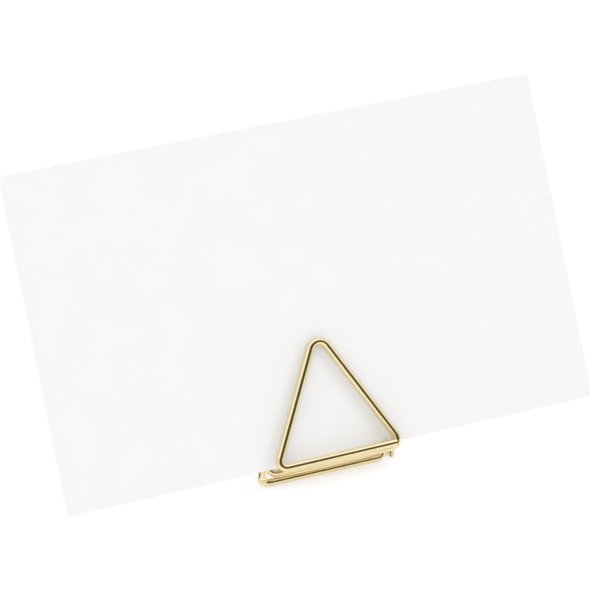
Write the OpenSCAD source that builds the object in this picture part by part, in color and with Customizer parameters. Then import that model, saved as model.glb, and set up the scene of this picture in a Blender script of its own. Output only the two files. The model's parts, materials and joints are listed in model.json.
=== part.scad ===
// Place card holder: one length of round wire bent into three triangular loops.
// The front and rear loops lean back and grip a card between them, and the last
// loop lies flat on the table as the foot. The card lifts out along its own plane.
// Millimetres, +Z up, the viewer stands on the -Y side.

/* [Wire] */
// Diameter of the round wire
wire_d = 1.2; // [0.9:0.05:1.6]
// Chamfer on the two cut ends of the wire
end_chamfer = 0.12; // [0.05:0.01:0.25]
// How much fuller the wire is at a bend than along a straight run, on its radius
bend_swell = 0.005; // [0.003:0.001:0.02]
// Gap left at the section where the run under the card twists
twist_gap = 0.02; // [0.01:0.01:0.1]

/* [Loops] */
// Width of the front and rear loops, between the sharp corners of their outlines
loop_w = 21.6; // [18:0.2:32]
// Width of the foot, between its two sharp front corners
foot_w = 21.15; // [16:0.05:32]
// Height of the front loop, from its bar to its sharp tip
front_h = 19.2; // [15:0.1:30]
// Height of the rear loop's sharp tip above the card's lower edge
rear_h = 18; // [14:0.5:28]
// Depth of the foot on the table, from its front bar to its sharp tip
foot_depth = 19.5; // [15:0.5:30]
// Bend radius of the three tips, to the wire's axis
tip_r = 1.6; // [1:0.1:2.6]
// Bend radius where the front loop's bar turns up into its left leg
front_heel_r = 1; // [0.9:0.05:2]
// Bend radius where the front loop's right leg turns under the card
under_r = 1.25; // [1:0.05:2.4]
// Bend radius where the run under the card turns up into the rear loop
rear_heel_r = 1; // [0.9:0.1:2.5]
// Bend radius of the foot's two front corners
foot_corner_r = 0.95; // [0.9:0.05:2]

/* [Hand bending] */
// How far the front loop's tip stands right of the middle
front_tip_aside = 0.15; // [0:0.05:0.4]
// How much higher the front bar's cut end lies than its left heel
toe_rise = 0.13; // [0:0.01:0.3]
// How far the front loop's right corner stops short of the loop's width
under_short = 0.2; // [0:0.05:0.4]
// How far the rear loop's left heel reaches past the loop's width
rear_heel_aside = 0.65; // [0:0.05:0.8]
// How far the rear loop's tip stands left of the middle
rear_tip_aside = 1.2; // [0:0.05:1.5]
// How far the foot's middle lies left of the front loop's
foot_aside = 1.75; // [0:0.05:2]
// How much further back the foot's left corner lies than its right one
foot_skew = 0.1; // [0:0.05:0.4]

/* [Stance] */
// Angle that the card and the two gripping loops lean back, in degrees
lean = 26; // [18:1:34]
// Height of the card's lower edge above the table
card_rise = 3.2; // [3.1:0.05:8]
// Distance from the card's lower edge back to the foot's front bar
foot_back = 0.85; // [0.6:0.05:6]

/* [Grip] */
// Clearance between the card and each gripping loop
grip_gap = 0.05; // [0.02:0.01:0.2]
// Clearance between the front bar's cut end and the leg that passes behind it
toe_gap = 0.45; // [0.4:0.05:1]
// How far the front loop's left heel stands forward of its tip
front_heel_out = 0.5; // [0.2:0.1:1.2]
// How far the front bar's axis lies below the card's lower edge
bar_below = 0.2; // [0:0.05:0.3]
// How far the front bar's cut end stops short of the loop's sharp corner
toe_short = 1.8; // [1:0.1:3]
// Clearance between the card's lower edge and the run that passes under it
seat_gap = 0.07; // [0.05:0.01:0.3]
// How far the run under the card starts forward of the front loop's tip
under_forward = 0.3; // [0.2:0.05:0.8]
// How far the rear loop's sharp tip leans in, as its bend cuts that corner off
rear_tip_in = 0.09; // [0:0.01:0.15]
// How far the rear loop's left heel stands back from its tip
rear_heel_out = 0.85; // [0.6:0.05:1.5]
// Clearance at the foot's cut end, which passes outside the foot's right corner
foot_toe_gap = 0.1; // [0.05:0.05:1]
// How far the foot's cut end stops behind the foot's front bar
foot_toe_short = 0.4; // [0:0.1:1.5]

/* [Card] */
// Width of the card
card_w = 88.9; // [60:0.1:130]
// Height of the card
card_h = 50.8; // [35:0.1:80]
// Thickness of the card stock
card_t = 0.35; // [0.2:0.05:0.5]

/* [Hidden] */
$fn = 48;
wire_r = wire_d / 2;
half_w = loop_w / 2;

// A straight run reaches this many swells into the fuller bend at its end
overlap_in_swells = 6;
bend_overlap = overlap_in_swells * bend_swell;

// Distances of the gripping loops' axes from the card's middle plane
grip = card_t / 2 + grip_gap + wire_r;
front_heel = grip + front_heel_out;
toe = grip + wire_d + toe_gap;
rear_heel = grip + rear_heel_out;
rear_tip = grip - rear_tip_in;

// The front loop's right leg is carried on past the bar to the run under the card
under = grip + under_forward;
under_drop = wire_r + seat_gap;

// The foot's right leg passes outside the foot's right corner
foot_right_x = foot_w / 2 - foot_aside;
foot_toe_x = foot_right_x + wire_d + foot_toe_gap;

// A point of the leaning frame: across, back from the card's middle plane, and
// up along the card from its lower edge. Y is counted from that edge until the
// finished pieces are centred.
function leaning(across, back, up) = [
    across,
    back * cos(lean) + up * sin(lean),
    card_rise - back * sin(lean) + up * cos(lean)
];

// A point of the wire's axis where the wire lies on the table, on its bends
function on_table(across, y) = [across, y, wire_r + bend_swell];

// Sharp corners of the wire's axis, from the front bar's cut end to the foot's: each
// one's name, place and bend radius
corners = [
    ["front_toe", leaning(half_w - toe_short, -toe, toe_rise - bar_below), 0],
    ["front_heel", leaning(-half_w, -front_heel, -bar_below), front_heel_r],
    ["front_tip", leaning(front_tip_aside, -grip, front_h - bar_below), tip_r],
    ["under", leaning(half_w - under_short, -under, -under_drop), under_r],
    ["rear_heel", leaning(-half_w - rear_heel_aside, rear_heel, -under_drop), rear_heel_r],
    ["rear_tip", leaning(-rear_tip_aside, rear_tip, rear_h), tip_r],
    ["foot_right", on_table(foot_right_x, foot_back), foot_corner_r],
    ["foot_left", on_table(-foot_w / 2 - foot_aside, foot_back + foot_skew), foot_corner_r],
    ["foot_tip", on_table(-foot_aside, foot_back + foot_depth), tip_r],
    ["foot_toe", on_table(foot_toe_x, foot_back + foot_toe_short), 0]
];
last = len(corners) - 1;

// The run numbered i goes from corner i to the next
function numbered(name) = search([name], corners)[0];
function place(i) = corners[i][1];
function radius(i) = corners[i][2];
function unit(v) = v / norm(v);
function course(i) = unit(place(i + 1) - place(i));
function turn(i) = acos(course(i - 1) * course(i));
function reach(i) = radius(i) == 0 ? 0 : radius(i) * tan(turn(i) / 2);
function run_start(i) = place(i) + course(i) * reach(i);
function run_end(i) = place(i + 1) - course(i) * reach(i + 1);
function into_last(i) = run_start(i) - course(i) * bend_overlap;
function into_next(i) = run_end(i) + course(i) * bend_overlap;
function bend_centre(i) = place(i) + unit(course(i) - course(i - 1)) * radius(i) / cos(turn(i) / 2);

// The holder is centred on its bounding box from front to back: its front is the
// front bar's cut end, its back the foot's tip or the card's top
foot_tip_y = bend_centre(numbered("foot_tip")).y + tip_r + bend_swell + wire_r;
front_y = place(numbered("front_toe")).y - wire_r;
card_top_y = card_h * sin(lean) + card_t / 2 * cos(lean);
to_middle = [0, -(front_y + max(foot_tip_y, card_top_y)) / 2, 0];

// The run under the card is a torsion bar: the front loop turns about its axis
under_run = numbered("under");
twist_point = (run_start(under_run) + run_end(under_run)) / 2;
twist_axis = -course(under_run);
echo(twist_point = twist_point + to_middle, twist_axis = twist_axis);
card_edge = leaning(0, 0, 0);
echo(card_edge = card_edge + to_middle, card_direction = unit(leaning(0, 0, card_h) - card_edge));

// The wire's least gap to itself, between runs that don't follow each other
samples_in_run = 24;
function run_point(i, share) = run_start(i) * (1 - share) + run_end(i) * share;
function run_gap(i, j) = min([
    for (a = [0 : samples_in_run], b = [0 : samples_in_run])
        norm(run_point(i, a / samples_in_run) - run_point(j, b / samples_in_run))
]) - wire_d;
echo(least_gap = min([for (i = [0 : last - 3], j = [i + 2 : last - 1]) run_gap(i, j)]));

module along(from, way) {
    translate(from)
        rotate([0, acos(way.z), atan2(way.y, way.x)])
            children();
}

module straight(from, to) {
    along(from, unit(to - from))
        cylinder(h = norm(to - from), d = wire_d);
}

// A run that stops at a cut end of the wire, chamfered
module end_run(from, cut) {
    h = norm(cut - from);
    along(from, unit(cut - from))
        rotate_extrude()
            polygon([[0, 0], [wire_r, 0], [wire_r, h - end_chamfer], [wire_r - end_chamfer, h], [0, h]]);
}

// The whole run from a named corner to the next bend
module run(name) {
    i = numbered(name);
    straight(into_last(i), into_next(i));
}

// The bend at a named corner
module bend(name) {
    i = numbered(name);
    middle = bend_centre(i);
    forward = course(i - 1);
    outward = unit(run_end(i - 1) - middle);
    sideways = cross(outward, forward);
    multmatrix([
        [outward.x, forward.x, sideways.x, middle.x],
        [outward.y, forward.y, sideways.y, middle.y],
        [outward.z, forward.z, sideways.z, middle.z]
    ])
        rotate_extrude(angle = turn(i))
            translate([radius(i), 0])
                circle(r = wire_r + bend_swell);
}

// Bar, two legs and tip in front of the card, with the half of the run under the
// card that turns with them
module front_loop() {
    toe_run = numbered("front_toe");
    color("#cfae62") translate(to_middle) {
        end_run(into_next(toe_run), run_start(toe_run));
        bend("front_heel");
        run("front_heel");
        bend("front_tip");
        run("front_tip");
        bend("under");
        straight(into_last(under_run), twist_point + twist_axis * twist_gap / 2);
    }
}

// The other half of the run under the card, then two legs and a tip behind it
module rear_loop() {
    color("#c7a457") translate(to_middle) {
        straight(twist_point - twist_axis * twist_gap / 2, into_next(under_run));
        bend("rear_heel");
        run("rear_heel");
        bend("rear_tip");
        run("rear_tip");
        bend("foot_right");
    }
}

// Bar, two legs and tip that lie on the table
module foot_loop() {
    bar_run = numbered("foot_right");
    toe_run = numbered("foot_tip");
    color("#bd994c") translate(to_middle) {
        straight(run_start(bar_run), into_next(bar_run));
        bend("foot_left");
        run("foot_left");
        bend("foot_tip");
        end_run(into_last(toe_run), run_end(toe_run));
    }
}

// Plain card, standing in the plane between the two leaning loops
module place_card() {
    color("#f4f4f2")
        translate(card_edge + to_middle)
            rotate([-lean, 0, 0])
                translate([-card_w / 2, -card_t / 2, 0])
                    cube([card_w, card_t, card_h]);
}

front_loop();
rear_loop();
foot_loop();
place_card();
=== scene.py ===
"""A place card holder of gold-plated wire with its card, dressed for rendering.

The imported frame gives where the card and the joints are. The wire is swept again
here along the same route, with rounder sections than the frame's.
"""

import json
import math
from typing import NamedTuple

import bmesh
import bpy
from bpy.props import FloatProperty, FloatVectorProperty, IntProperty, PointerProperty
from mathutils import Matrix, Vector


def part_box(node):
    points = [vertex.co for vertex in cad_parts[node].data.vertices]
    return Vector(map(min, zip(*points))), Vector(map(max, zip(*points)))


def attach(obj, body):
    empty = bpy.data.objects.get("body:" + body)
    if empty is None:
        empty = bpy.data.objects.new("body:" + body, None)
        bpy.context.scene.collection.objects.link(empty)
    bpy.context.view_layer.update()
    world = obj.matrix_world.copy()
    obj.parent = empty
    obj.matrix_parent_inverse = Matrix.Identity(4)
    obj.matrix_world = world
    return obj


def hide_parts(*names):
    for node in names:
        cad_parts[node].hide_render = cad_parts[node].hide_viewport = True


bl_info = {
    "name": "Place card holder",
    "version": (1, 0, 0),
    "blender": (4, 5, 0),
    "location": "3D View > Sidebar > Card holder",
    "description": "Builds a wire place card holder, its card and its studio",
    "category": "Object",
}

MM = 0.001
DEGREE = math.pi / 180

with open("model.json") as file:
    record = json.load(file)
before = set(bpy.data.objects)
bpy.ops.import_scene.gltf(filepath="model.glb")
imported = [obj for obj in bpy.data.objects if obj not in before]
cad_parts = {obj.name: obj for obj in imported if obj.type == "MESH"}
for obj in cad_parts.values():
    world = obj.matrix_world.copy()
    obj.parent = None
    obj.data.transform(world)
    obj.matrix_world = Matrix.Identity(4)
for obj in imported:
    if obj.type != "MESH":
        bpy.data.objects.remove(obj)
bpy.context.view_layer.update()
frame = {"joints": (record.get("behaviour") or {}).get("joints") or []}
JOINTS = {joint["name"]: joint for joint in frame["joints"]}

# The card slides along its own plane, which leans back, and the front loop turns about
# the wire's axis at the point where the run under the card twists
LIFT_AXIS = JOINTS["card_lift"]["axis"]
LEAN = math.atan2(LIFT_AXIS[1], LIFT_AXIS[2])
TWIST_POINT = Vector(JOINTS["jaw_flex"]["pos_m"])
CARD_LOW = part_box("place_card")[0]


def length(name, description, mm):
    """A size of the object, given in millimetres and kept in metres."""
    return FloatProperty(
        name=name, description=description, default=mm * MM, min=0, unit="LENGTH"
    )


def steps(name, description, default, least):
    """How many flat steps stand in for a round shape."""
    return IntProperty(name=name, description=description, default=default, min=least)


def linear(hex_value):
    """An sRGB hex value as a linear colour."""
    parts = [int(hex_value[i : i + 2], 16) / 255 for i in (0, 2, 4)]
    return (*(c / 12.92 if c <= 0.04045 else ((c + 0.055) / 1.055) ** 2.4 for c in parts), 1.0)


def shade(name, description, hex_value):
    """A colour, given as an sRGB hex value and kept linear."""
    return FloatVectorProperty(
        name=name, description=description, default=linear(hex_value),
        size=4, min=0, max=1, subtype="COLOR",
    )


class HolderSizes(bpy.types.PropertyGroup):
    """Sizes of the bent wire, as the part's source has them"""

    wire_d: length("Wire", "Diameter of the round wire", 1.2)
    end_chamfer: length("End chamfer", "Rounding on the wire's two cut ends", 0.12)
    bend_swell: length("Bend swell", "How much fuller the frame's wire is at its bends", 0.005)
    loop_w: length("Loop width", "Width between the gripping loops' sharp corners", 21.6)
    foot_w: length("Foot width", "Width between the foot's sharp front corners", 21.15)
    front_h: length("Front height", "Height of the front loop from its bar to its sharp tip", 19.2)
    rear_h: length("Rear height", "Height of the rear loop's sharp tip above the card's lower edge", 18)
    foot_depth: length("Foot depth", "Depth of the foot from its front bar to its sharp tip", 19.5)
    tip_r: length("Tip bend", "Bend radius of the three tips", 1.6)
    front_heel_r: length("Front heel bend", "Bend radius where the front bar turns up", 1)
    under_r: length("Under bend", "Bend radius where the front loop turns under the card", 1.25)
    rear_heel_r: length("Rear heel bend", "Bend radius where the wire turns up behind the card", 1)
    foot_corner_r: length("Foot bends", "Bend radius of the foot's two front corners", 0.95)
    front_tip_aside: length("Front tip aside", "How far the front tip stands right of the middle", 0.15)
    toe_rise: length("Toe rise", "How much higher the front bar's end lies than its heel", 0.13)
    under_short: length("Under short", "How far the front loop's right corner stops short", 0.2)
    rear_heel_aside: length("Rear heel aside", "How far the rear loop's left heel reaches out", 0.65)
    rear_tip_aside: length("Rear tip aside", "How far the rear tip stands left of the middle", 1.2)
    foot_aside: length("Foot aside", "How far the foot's middle lies left of the front loop's", 1.75)
    foot_skew: length("Foot skew", "How much further back the foot's left corner lies", 0.1)
    foot_back: length("Foot set back", "Distance from the card's lower edge back to the foot", 0.85)
    grip_gap: length("Grip gap", "Clearance between the card and each gripping loop", 0.05)
    toe_gap: length("Toe gap", "Clearance between the front bar's end and the leg behind it", 0.45)
    front_heel_out: length("Front heel out", "How far the front heel stands forward of the tip", 0.5)
    bar_below: length("Bar below", "How far the front bar lies below the card's lower edge", 0.2)
    toe_short: length("Toe short", "How far the front bar's end stops short of the corner", 1.8)
    seat_gap: length("Seat gap", "Clearance between the card's lower edge and the wire under it", 0.07)
    under_forward: length("Under forward", "How far forward of the tip the wire goes under", 0.3)
    rear_tip_in: length("Rear tip in", "How far the rear loop's sharp tip leans in", 0.09)
    rear_heel_out: length("Rear heel out", "How far the rear heel stands back from the tip", 0.85)
    foot_toe_gap: length("Foot toe gap", "Clearance at the foot's cut end", 0.1)
    foot_toe_short: length("Foot toe short", "How far the foot's cut end stops behind its bar", 0.4)
    sides: steps("Sides", "Flat sides round the wire's section", 40, 8)
    bend_steps: steps("Bend steps", "Steps in a half turn of a bend", 36, 6)
    chamfer_steps: steps("Chamfer steps", "Steps in the rounding of a cut end", 4, 1)


class CardSizes(bpy.types.PropertyGroup):
    """Sizes of the card"""

    width: length("Width", "Width of the card", 88.9)
    height: length("Height", "Height of the card", 50.8)
    thickness: length("Thickness", "Thickness of the card stock", 0.35)
    bow: length("Bow", "How far the card's side edges curl back", 0.1)
    rim: length("Rim", "Rounding that the cutting die leaves on the card's edges", 0.05)
    rim_steps: steps("Rim steps", "Steps in the rounding of the card's edges", 3, 1)
    columns: steps("Columns", "Flat strips that the bow is made of", 32, 2)


class Colours(bpy.types.PropertyGroup):
    """Colours of the finishes"""

    plating: shade("Plating", "Pale gold of the plated wire", "F1E2BA")
    plating_deep: shade("Deep plating", "Redder gold where the plating is thicker", "ECD8A8")
    cut_end: shade("Cut end", "Plating over the sheared grain of a cut end", "DCC795")
    # The cut rim colour is painted shade: the dark ring round the edge of each cut end stands for
    # shade, not for worn plating.
    cut_rim_shade: shade("Cut rim", "Worn plating round the edge of a cut end", "6E5A2C")
    card: shade("Card", "White of the card stock", "F1F1F2")
    card_cloud: shade("Card cloud", "Faint cloudiness of the pulp", "EDEDEE")
    table: shade("Table", "Opal acrylic of the light table, lit from above", "B4B4B4")
    table_glow: shade("Table glow", "Light that comes up through the opal acrylic", "C8C8C8")


def fill(tree, target, inputs):
    """Sets or links a node's inputs, by name or number."""
    for name, value in inputs.items():
        if isinstance(value, bpy.types.NodeSocket):
            tree.links.new(value, target.inputs[name])
        else:
            target.inputs[name].default_value = value


def node(tree, kind, inputs, **settings):
    """Adds a shader node with its settings, and fills its inputs."""
    made = tree.nodes.new("ShaderNode" + kind)
    for name, value in settings.items():
        setattr(made, name, value)
    fill(tree, made, inputs)
    return made


def new_material(name):
    """A material, its node tree and the shader at its end."""
    material = bpy.data.materials.new(name)
    material.use_nodes = True
    return material, material.node_tree, material.node_tree.nodes["Principled BSDF"]


def new_object(name, bm, *materials):
    """An object in the scene with a bmesh's shape and these materials."""
    mesh = bpy.data.meshes.new(name)
    bm.to_mesh(mesh)
    bm.free()
    for material in materials:
        mesh.materials.append(material)
    made = bpy.data.objects.new(name, mesh)
    bpy.context.scene.collection.objects.link(made)
    return made


def finish_piece(name, bm, body, slot, replaced, *materials):
    """Turns a bmesh into a piece that rides on a body and stands for CAD nodes."""
    piece = new_object(name, bm, *materials)
    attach(piece, body)
    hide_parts(*replaced)


def card_edge(card):
    """Where the middle of the card's lower edge lies, from front to back and up."""
    half_t = card.thickness / 2
    return CARD_LOW.y + half_t * math.cos(LEAN), CARD_LOW.z + half_t * math.sin(LEAN)


# The wire

# The wire's second material is on its cut ends
CUT_END_SLOT = 1


class Corner(NamedTuple):
    """A sharp corner of the wire's axis, and the radius that it is bent to"""

    place: Vector
    bend_r: float


def wire_route(sizes, card):
    """The ten corners of the wire's axis in the row frame, by name, from end to end."""
    wire_r = sizes.wire_d / 2
    half_w = sizes.loop_w / 2
    grip = card.thickness / 2 + sizes.grip_gap + wire_r
    under_drop = wire_r + sizes.seat_gap
    edge_y, edge_z = card_edge(card)

    def leaning(across, back, up):
        """A point across, back from the card's middle plane and up along the card."""
        y = edge_y + back * math.cos(LEAN) + up * math.sin(LEAN)
        z = edge_z - back * math.sin(LEAN) + up * math.cos(LEAN)
        return Vector((across, y, z))

    def on_table(across, back):
        """A point that far behind the card's lower edge, where the wire lies down."""
        return Vector((across, edge_y + back, wire_r + sizes.bend_swell))

    toe = grip + sizes.wire_d + sizes.toe_gap
    front_toe = leaning(half_w - sizes.toe_short, -toe, sizes.toe_rise - sizes.bar_below)
    front_heel = leaning(-half_w, -grip - sizes.front_heel_out, -sizes.bar_below)
    front_tip = leaning(sizes.front_tip_aside, -grip, sizes.front_h - sizes.bar_below)

    under = leaning(half_w - sizes.under_short, -grip - sizes.under_forward, -under_drop)
    rear_heel_x = -half_w - sizes.rear_heel_aside
    rear_heel = leaning(rear_heel_x, grip + sizes.rear_heel_out, -under_drop)
    rear_tip = leaning(-sizes.rear_tip_aside, grip - sizes.rear_tip_in, sizes.rear_h)

    foot_right_x = sizes.foot_w / 2 - sizes.foot_aside
    foot_left_x = -sizes.foot_w / 2 - sizes.foot_aside
    foot_toe_x = foot_right_x + sizes.wire_d + sizes.foot_toe_gap
    foot_right = on_table(foot_right_x, sizes.foot_back)
    foot_left = on_table(foot_left_x, sizes.foot_back + sizes.foot_skew)
    foot_tip = on_table(-sizes.foot_aside, sizes.foot_back + sizes.foot_depth)
    foot_toe = on_table(foot_toe_x, sizes.foot_back + sizes.foot_toe_short)
    return {
        "front_toe": Corner(front_toe, 0),
        "front_heel": Corner(front_heel, sizes.front_heel_r),
        "front_tip": Corner(front_tip, sizes.tip_r),
        "under": Corner(under, sizes.under_r),
        "rear_heel": Corner(rear_heel, sizes.rear_heel_r),
        "rear_tip": Corner(rear_tip, sizes.tip_r),
        "foot_right": Corner(foot_right, sizes.foot_corner_r),
        "foot_left": Corner(foot_left, sizes.foot_corner_r),
        "foot_tip": Corner(foot_tip, sizes.tip_r),
        "foot_toe": Corner(foot_toe, 0),
    }


def ring_of(geometry):
    """The vertices and edges of the section that an operator ended on."""
    verts = [g for g in geometry if isinstance(g, bmesh.types.BMVert)]
    edges = [g for g in geometry if isinstance(g, bmesh.types.BMEdge)]
    return verts, edges


def bent_wire(corners, sizes, starts_cut, ends_cut):
    """One length of round wire along its corners, as a closed bmesh.

    A cut end is rounded and has its own finish. An end that isn't cut meets the next
    length of wire and stays square. Each vertex keeps, as "drawn", its place in the
    straight wire before bending, so that the marks of the drawing die follow the bends.
    """
    bm = bmesh.new()
    drawn = bm.verts.layers.float_vector.new("drawn")
    at = corners[0].place
    heading = (corners[1].place - at).to_track_quat("Z", "Y").to_matrix().to_4x4()
    verts = bmesh.ops.create_circle(bm, segments=sizes.sides, radius=sizes.wire_d / 2)["verts"]
    first = edges = list(bm.edges)
    for vert in verts:
        vert[drawn] = vert.co
    bmesh.ops.transform(bm, matrix=Matrix.Translation(at) @ heading, verts=verts)
    travelled = 0.0

    def mark(section, distance):
        nonlocal travelled
        travelled += distance
        for vert in section:
            vert[drawn] = (vert[drawn][0], vert[drawn][1], travelled)

    def draw_straight(edges, by):
        verts, edges = ring_of(bmesh.ops.extrude_edge_only(bm, edges=edges)["geom"])
        bmesh.ops.translate(bm, vec=by, verts=verts)
        mark(verts, by.length)
        return verts, edges

    for before, corner, after in zip(corners, corners[1:], corners[2:]):
        into = (corner.place - before.place).normalized()
        out = (after.place - corner.place).normalized()
        angle = into.angle(out)
        reach = corner.bend_r * math.tan(angle / 2)
        verts, edges = draw_straight(edges, corner.place - into * reach - at)
        centre = corner.place + (out - into).normalized() * corner.bend_r / math.cos(angle / 2)
        turns = math.ceil(angle / math.pi * sizes.bend_steps)
        for _ in range(turns):
            turned = bmesh.ops.spin(
                bm, geom=verts + edges, cent=centre, axis=into.cross(out).normalized(),
                angle=angle / turns, steps=1, use_duplicate=False, use_merge=False,
            )
            verts, edges = ring_of(turned["geom_last"])
            mark(verts, corner.bend_r * angle / turns)
        at = corner.place + out * reach
    _, edges = draw_straight(edges, corners[-1].place - at)

    for face in bm.faces:
        face.smooth = True
    for rim, is_cut in ((first, starts_cut), (edges, ends_cut)):
        cap = bmesh.ops.edgeloop_fill(bm, edges=rim)["faces"][0]
        if is_cut:
            cap.material_index = CUT_END_SLOT
            rounded = bmesh.ops.bevel(
                bm, geom=list(cap.edges), offset=sizes.end_chamfer, offset_type="OFFSET",
                segments=sizes.chamfer_steps, profile=0.5, affect="EDGES", material=-1,
                clamp_overlap=True,
            )
            for face in rounded["faces"]:
                face.material_index = CUT_END_SLOT
        else:
            for edge in rim:
                edge.smooth = False
    bmesh.ops.recalc_face_normals(bm, faces=bm.faces)
    return bm


def gold_plated_wire(colours, wire_d):
    """Bright gold plating on drawn steel wire.

    The plating copies the lengthwise lines that the drawing die left, so the
    highlights along the wire are slightly broken up. The real lines are too fine to
    show, so these are drawn coarser.
    """
    lines_across = 26
    lengthwise_share = 0.02
    line_depth = 0.01 * MM
    tone_size = 4 * MM
    smoothest, roughest = 0.07, 0.15

    material, tree, shader = new_material("gold_plated_drawn_wire")
    drawn = node(tree, "Attribute", {}, attribute_name="drawn").outputs["Vector"]
    per_wire = (1 / wire_d, 1 / wire_d, lengthwise_share / wire_d)
    stretched = node(tree, "Mapping", {"Vector": drawn, "Scale": per_wire}).outputs["Vector"]
    lines = node(
        tree, "TexNoise",
        {"Vector": stretched, "Scale": lines_across, "Detail": 3, "Roughness": 0.6},
    ).outputs["Fac"]
    tone = node(
        tree, "TexNoise", {"Vector": drawn, "Scale": 1 / tone_size, "Detail": 2}
    ).outputs["Fac"]
    colour = node(
        tree, "Mix",
        {"Factor": tone, "A": colours.plating, "B": colours.plating_deep},
        data_type="RGBA",
    )
    rough = node(tree, "MapRange", {
        "Value": lines, "From Min": 0.3, "From Max": 0.7,
        "To Min": smoothest, "To Max": roughest,
    })
    bump = node(tree, "Bump", {"Height": lines, "Strength": 0.25, "Distance": line_depth})
    fill(tree, shader, {
        "Base Color": colour.outputs["Result"],
        "Metallic": 1,
        "Roughness": rough.outputs["Result"],
        "Normal": bump.outputs["Normal"],
    })
    return material


def sheared_wire_end(colours, wire_d):
    """A cut end of the wire: plating over the grain that the shear dragged one way.

    A dark ring of painted shade is laid round its edge and frames the end.
    """
    grain_across, grain_down = 12 / wire_d, 2 / wire_d
    grain_depth = 0.04 * MM
    # Between these two distances from the axis, the cut end darkens into its ring of painted shade.
    shade_begins, shade_full = 0.36 * wire_d, 0.46 * wire_d

    material, tree, shader = new_material("gold_plated_sheared_end")
    place = node(tree, "TexCoord", {}).outputs["Object"]
    dragged = node(
        tree, "Mapping", {"Vector": place, "Scale": (grain_across, grain_across, grain_down)}
    ).outputs["Vector"]
    grain = node(tree, "TexNoise", {"Vector": dragged, "Scale": 1, "Detail": 3}).outputs["Fac"]
    plated = node(
        tree, "Mix",
        {"Factor": grain, "A": colours.cut_end, "B": colours.plating},
        data_type="RGBA",
    )
    drawn = node(tree, "Attribute", {}, attribute_name="drawn").outputs["Vector"]
    across = node(
        tree, "VectorMath", {0: drawn, 1: (1, 1, 0)}, operation="MULTIPLY"
    ).outputs["Vector"]
    from_axis = node(tree, "VectorMath", {0: across}, operation="LENGTH").outputs["Value"]
    rim_shade = node(
        tree, "MapRange",
        {"Value": from_axis, "From Min": shade_begins, "From Max": shade_full},
    )
    # Mixes the painted shade of the rim into the cut end's colour.
    colour = node(
        tree, "Mix",
        {"Factor": rim_shade.outputs["Result"], "A": plated.outputs["Result"], "B": colours.cut_rim_shade},
        data_type="RGBA",
    )
    bump = node(tree, "Bump", {"Height": grain, "Strength": 0.6, "Distance": grain_depth})
    fill(tree, shader, {
        "Base Color": colour.outputs["Result"],
        "Metallic": 1,
        "Roughness": 0.35,
        "Normal": bump.outputs["Normal"],
    })
    return material


def shared():
    """The sizes and colours, kept on the scene."""
    scene = bpy.context.scene
    return scene.holder_sizes, scene.card_sizes, scene.holder_colours


def plating():
    """The wire's two materials, made once and shared by both lengths of wire."""
    sizes, _, colours = shared()
    made = bpy.data.materials
    return (
        made.get("gold_plated_drawn_wire") or gold_plated_wire(colours, sizes.wire_d),
        made.get("gold_plated_sheared_end") or sheared_wire_end(colours, sizes.wire_d),
    )


class HOLDER_OT_jaw(bpy.types.Operator):
    """Bends the front loop, which opens when a card goes in"""

    bl_idname = "holder.jaw"
    bl_label = "Front loop"

    def execute(self, context):
        sizes, card, _ = shared()
        route = wire_route(sizes, card)
        names = ("front_toe", "front_heel", "front_tip", "under")
        corners = [route[name] for name in names] + [Corner(TWIST_POINT, 0)]
        bm = bent_wire(corners, sizes, starts_cut=True, ends_cut=False)
        finish_piece("front_loop_wire", bm, "jaw", "wire", ["front_loop"], *plating())
        return {"FINISHED"}


class HOLDER_OT_stand(bpy.types.Operator):
    """Bends the rear loop and the foot in one length"""

    bl_idname = "holder.stand"
    bl_label = "Rear loop and foot"

    def execute(self, context):
        sizes, card, _ = shared()
        route = wire_route(sizes, card)
        names = ("rear_heel", "rear_tip", "foot_right", "foot_left", "foot_tip", "foot_toe")
        corners = [Corner(TWIST_POINT, 0)] + [route[name] for name in names]
        bm = bent_wire(corners, sizes, starts_cut=False, ends_cut=True)
        nodes = ["rear_loop", "foot_loop"]
        finish_piece("rear_loop_and_foot_wire", bm, "stand", "wire", nodes, *plating())
        return {"FINISHED"}


# The card


def card_stock(colours):
    """Uncoated white card stock: matt, with faint pulp clouds and a fine felt tooth.

    The real tooth is too fine to show, so it is drawn coarser.
    """
    cloud_size = 6 * MM
    tooth_size = 0.25 * MM
    tooth_depth = 0.01 * MM

    material, tree, shader = new_material("uncoated_card_stock")
    place = node(tree, "TexCoord", {}).outputs["Object"]
    clouds = node(
        tree, "TexNoise", {"Vector": place, "Scale": 1 / cloud_size, "Detail": 3}
    ).outputs["Fac"]
    tooth = node(
        tree, "TexNoise", {"Vector": place, "Scale": 1 / tooth_size, "Detail": 4}
    ).outputs["Fac"]
    colour = node(
        tree, "Mix",
        {"Factor": clouds, "A": colours.card, "B": colours.card_cloud},
        data_type="RGBA",
    )
    bump = node(tree, "Bump", {"Height": tooth, "Strength": 0.15, "Distance": tooth_depth})
    fill(tree, shader, {
        "Base Color": colour.outputs["Result"],
        "Roughness": 0.9,
        "Specular IOR Level": 0.3,
        "Normal": bump.outputs["Normal"],
    })
    return material


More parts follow.
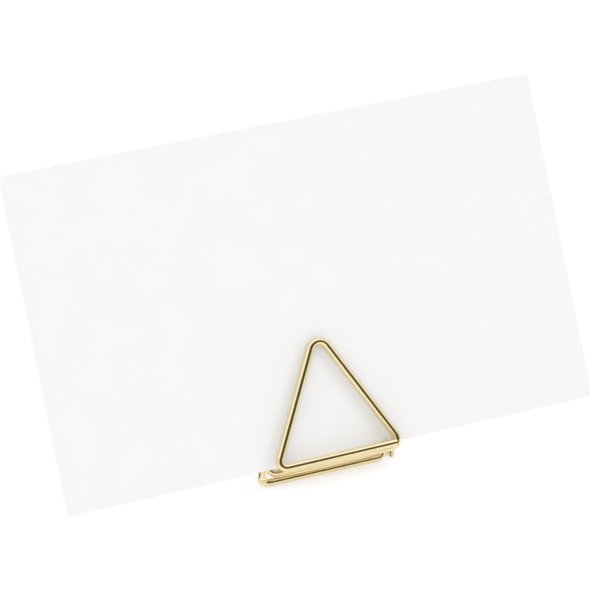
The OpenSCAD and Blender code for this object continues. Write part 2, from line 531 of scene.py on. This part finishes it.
def cut_card(card):
    """The card with its edges rounded and its sides bowed back, as a closed bmesh."""
    bm = bmesh.new()
    bmesh.ops.create_cube(bm, size=1)
    bmesh.ops.scale(bm, vec=(card.width, card.thickness, card.height), verts=bm.verts)
    bmesh.ops.bevel(
        bm, geom=list(bm.edges), offset=card.rim, offset_type="OFFSET",
        segments=card.rim_steps, profile=0.5, affect="EDGES", material=-1,
        clamp_overlap=True,
    )
    for column in range(1, card.columns):
        x = card.width * (column / card.columns - 0.5)
        geometry = list(bm.verts) + list(bm.edges) + list(bm.faces)
        bmesh.ops.bisect_plane(bm, geom=geometry, plane_co=(x, 0, 0), plane_no=(1, 0, 0))
    for vert in bm.verts:
        vert.co.y += card.bow * (vert.co.x / (card.width / 2)) ** 2
    stand = Matrix.Translation(Vector((0, *card_edge(card)))) @ Matrix.Rotation(-LEAN, 4, "X")
    lift = Matrix.Translation((0, 0, card.height / 2))
    bmesh.ops.transform(bm, matrix=stand @ lift, verts=bm.verts)
    bmesh.ops.recalc_face_normals(bm, faces=bm.faces)
    return bm


class HOLDER_OT_card(bpy.types.Operator):
    """Cuts the card, with die-rounded edges and a slight bow"""

    bl_idname = "holder.card"
    bl_label = "Place card"

    def execute(self, context):
        _, card, colours = shared()
        stock = card_stock(colours)
        finish_piece("card", cut_card(card), "card", "card", ["place_card"], stock)
        return {"FINISHED"}


# The studio

# The photograph's camera, from the card's four corners. Its clipping is in metres.
VIEW_AZIMUTH = -27.13 * DEGREE
VIEW_ELEVATION = 24.64 * DEGREE
VIEW_DISTANCE = 670.69 * MM
VIEW_TARGET = Vector((-1.593, 1.064, 25.426)) * MM
VIEW_LENS_MM = 272.2
VIEW_CLIP = (0.05, 10)

# The light tent: its brightness at the sides and overhead, and its two dim openings.
# One is straight in front of the card and the other behind it. The edge of each fades
# between two angles from its middle.
TENT_SIDES = 0.78
TENT_TOP = 1.3
FRONT_OPENING = (Vector((0, -math.cos(LEAN), math.sin(LEAN))), 36 * DEGREE, 46 * DEGREE)
REAR_OPENING = (Vector((0, 1, 0)), 16 * DEGREE, 28 * DEGREE)
OPENING_GLOW = (0.1, 0.09, 0.06, 1)

# The two round soft boxes: where each one hangs, its width in metres and its power
KEY_LIGHT = {"place": Vector((0.743, -0.338, 0.578)), "size": 0.5, "watts": 1.2}
FILL_LIGHT = {"place": Vector((-0.3, -0.85, 0.45)), "size": 0.8, "watts": 3.6}

# How far the light table reaches to each side of the holder, in metres
TABLE_REACH = 2


def towards(azimuth, elevation):
    """The direction from the object at that bearing and height."""
    flat = math.cos(elevation)
    return Vector((math.sin(azimuth) * flat, -math.cos(azimuth) * flat, math.sin(elevation)))


def light_table(colours):
    """Opal acrylic lit from both sides, so it is white and shadows on it stay faint."""
    speck_size = 2 * MM
    speck_depth = 0.01 * MM

    material, tree, shader = new_material("opal_acrylic_light_table")
    place = node(tree, "TexCoord", {}).outputs["Object"]
    speck = node(
        tree, "TexNoise", {"Vector": place, "Scale": 1 / speck_size, "Detail": 2}
    ).outputs["Fac"]
    bump = node(tree, "Bump", {"Height": speck, "Strength": 0.05, "Distance": speck_depth})
    fill(tree, shader, {
        "Base Color": colours.table,
        "Roughness": 0.8,
        "Emission Color": colours.table_glow,
        "Emission Strength": 1,
        "Normal": bump.outputs["Normal"],
    })
    return material


def opening(tree, way, centre, inner, outer):
    """How far a direction is inside an opening of the tent, from 0 to 1."""
    facing = node(tree, "VectorMath", {0: way, 1: centre}, operation="DOT_PRODUCT")
    inside = node(
        tree, "MapRange",
        {
            "Value": facing.outputs["Value"],
            "From Min": math.cos(outer),
            "From Max": math.cos(inner),
        },
        interpolation_type="SMOOTHSTEP",
    )
    return inside.outputs["Result"]


def studio_world():
    """A white light tent with a dim opening in front of the card and one behind it.

    The bright wire mirrors an opening as a dark line along its middle.
    """
    world = bpy.data.worlds.new("light_tent")
    bpy.context.scene.world = world
    world.use_nodes = True
    tree = world.node_tree
    way = node(tree, "TexCoord", {}).outputs["Generated"]
    either = node(
        tree, "Math",
        {0: opening(tree, way, *FRONT_OPENING), 1: opening(tree, way, *REAR_OPENING)},
        operation="MAXIMUM",
    )
    height = node(tree, "SeparateXYZ", {"Vector": way}).outputs["Z"]
    tent = node(tree, "MapRange", {
        "Value": height, "From Min": 0, "From Max": 1,
        "To Min": TENT_SIDES, "To Max": TENT_TOP,
    })
    colour = node(
        tree, "Mix",
        {
            "Factor": either.outputs["Value"],
            "A": tent.outputs["Result"],
            "B": OPENING_GLOW,
        },
        data_type="RGBA",
    )
    fill(tree, tree.nodes["Background"], {"Color": colour.outputs["Result"]})


def soft_light(name, place, size, watts):
    """A round soft box turned to the object, which the wire doesn't mirror."""
    lamp = bpy.data.lights.new(name, "AREA")
    lamp.shape = "DISK"
    lamp.size = size
    lamp.energy = watts
    light = bpy.data.objects.new(name, lamp)
    light.location = place
    light.rotation_euler = place.to_track_quat("Z", "Y").to_euler()
    light.visible_glossy = False
    bpy.context.scene.collection.objects.link(light)


def photograph_view():
    """The camera that the photograph was taken with."""
    camera = bpy.data.cameras.new("photograph_view")
    camera.lens = VIEW_LENS_MM
    camera.clip_start, camera.clip_end = VIEW_CLIP
    eye = bpy.data.objects.new("photograph_view", camera)
    way = towards(VIEW_AZIMUTH, VIEW_ELEVATION)
    eye.location = VIEW_TARGET + way * VIEW_DISTANCE
    eye.rotation_euler = way.to_track_quat("Z", "Y").to_euler()
    bpy.context.scene.collection.objects.link(eye)
    return eye


class HOLDER_OT_stage(bpy.types.Operator):
    """Sets up the light table, the tent, the two soft boxes and the camera"""

    bl_idname = "holder.stage"
    bl_label = "Studio"

    def execute(self, context):
        _, _, colours = shared()
        bm = bmesh.new()
        bmesh.ops.create_grid(bm, x_segments=1, y_segments=1, size=TABLE_REACH)
        table = new_object("table_top", bm, light_table(colours))
        studio_world()
        soft_light("key", **KEY_LIGHT)
        soft_light("fill", **FILL_LIGHT)
        context.scene.camera = photograph_view()
        context.scene.view_settings.view_transform = "Standard"
        return {"FINISHED"}


class HOLDER_PT_panel(bpy.types.Panel):
    """Lists the sizes and colours, and the operators in the order that they run"""

    bl_label = "Card holder"
    bl_space_type = "VIEW_3D"
    bl_region_type = "UI"
    bl_category = "Card holder"

    def draw(self, context):
        for group in shared():
            for name in group.bl_rna.properties.keys():
                if name not in ("rna_type", "name"):
                    self.layout.prop(group, name)
        for operator in OPERATORS:
            self.layout.operator(operator.bl_idname)


OPERATORS = (HOLDER_OT_jaw, HOLDER_OT_stand, HOLDER_OT_card, HOLDER_OT_stage)
GROUPS = {"holder_sizes": HolderSizes, "card_sizes": CardSizes, "holder_colours": Colours}
CLASSES = (*GROUPS.values(), *OPERATORS, HOLDER_PT_panel)


def register():
    for cls in CLASSES:
        bpy.utils.register_class(cls)
    for name, group in GROUPS.items():
        setattr(bpy.types.Scene, name, PointerProperty(type=group))


def unregister():
    for name in GROUPS:
        delattr(bpy.types.Scene, name)
    for cls in reversed(CLASSES):
        bpy.utils.unregister_class(cls)


def main():
    register()
    bpy.ops.holder.jaw()
    bpy.ops.holder.stand()
    bpy.ops.holder.card()
    bpy.ops.holder.stage()


if __name__ == "__main__":
    main()
